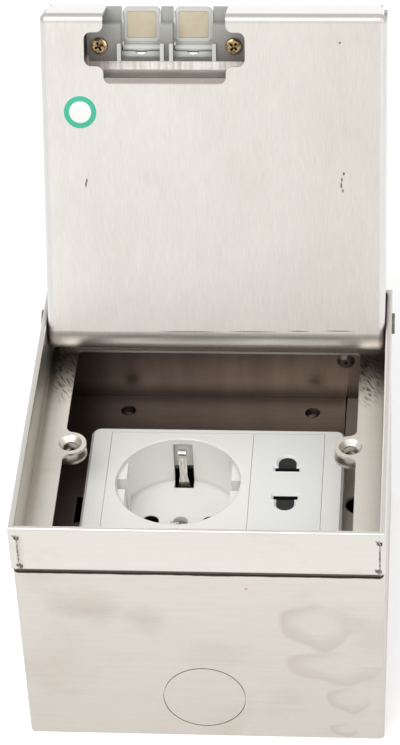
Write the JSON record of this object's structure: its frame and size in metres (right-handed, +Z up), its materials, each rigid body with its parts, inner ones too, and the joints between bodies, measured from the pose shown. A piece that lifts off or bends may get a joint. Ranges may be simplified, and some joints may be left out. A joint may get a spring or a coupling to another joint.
{
  "type": "floor socket box",
  "caption": "Square recessed steel floor box with a hinged tray lid, cable flaps in the lid and socket modules on an inner cradle.",
  "frame": {"origin": "middle of the back box's underside, which is a flat face", "axes": "+X to the user's right, +Y to the hinge side at the back, +Z up out of the floor"},
  "size_m": [0.1118, 0.1473, 0.1763],
  "materials": {
    "box_steel": "satin folded stainless sheet",
    "rivet_steel": "dull steel",
    "frame_steel": "brushed stainless sheet",
    "lid_steel": "brushed stainless sheet, grain running front to rear",
    "brass": "turned",
    "grey_plastic": "moulded, fine satin",
    "flap_pad": "soft cream pad",
    "white_plastic": "moulded, satin gloss",
    "nickel": "nickel plated spring strip",
    "black_plastic": "moulded"
  },
  "bodies": {
    "box": {"back_box": "box_steel", "box_pan": "box_steel", "pan_rivets": "rivet_steel", "seam_rivets": "rivet_steel", "lug_bracket_left": "box_steel", "lug_bracket_right": "box_steel", "lug_rivets": "rivet_steel", "cradle_plate": "box_steel", "conduit_stay": "box_steel", "cradle_rivets": "rivet_steel", "earth_stud": "brass", "earth_washer": "brass", "earth_nut": "brass", "frame_surround": "frame_steel", "hinge_pin_left": "rivet_steel", "hinge_pin_right": "rivet_steel", "support_frame": "white_plastic", "earthed_face": "white_plastic", "earth_clip": "nickel", "earthed_housing": "white_plastic", "pin_contacts": "brass", "centre_screw": "nickel", "twin_face": "white_plastic", "twin_insert": "black_plastic", "twin_housing": "white_plastic", "twin_contacts": "brass"},
    "lid": {"lid_tray": "lid_steel", "outlet_hood": "lid_steel", "flap_bracket": "grey_plastic", "bracket_screws": "brass", "flap_rod": "rivet_steel"},
    "flap_left": {"flap_left": "grey_plastic", "flap_pad_left": "flap_pad"},
    "flap_right": {"flap_right": "grey_plastic", "flap_pad_right": "flap_pad"}
  },
  "joints": [
    {"name": "lid_hinge", "type": "hinge", "parent": "box", "child": "lid", "pos_m": [0, 0.046, 0.0807], "axis": [1, 0, 0], "range_deg": [0, 113.3]},
    {"name": "flap_left_hinge", "type": "hinge", "parent": "lid", "child": "flap_left", "pos_m": [0, 0.0828, 0.15984], "axis": [-1, 0, 0], "range_deg": [0, 85]},
    {"name": "flap_right_hinge", "type": "hinge", "parent": "lid", "child": "flap_right", "pos_m": [0, 0.0828, 0.15984], "axis": [-1, 0, 0], "range_deg": [0, 85]}
  ]
}
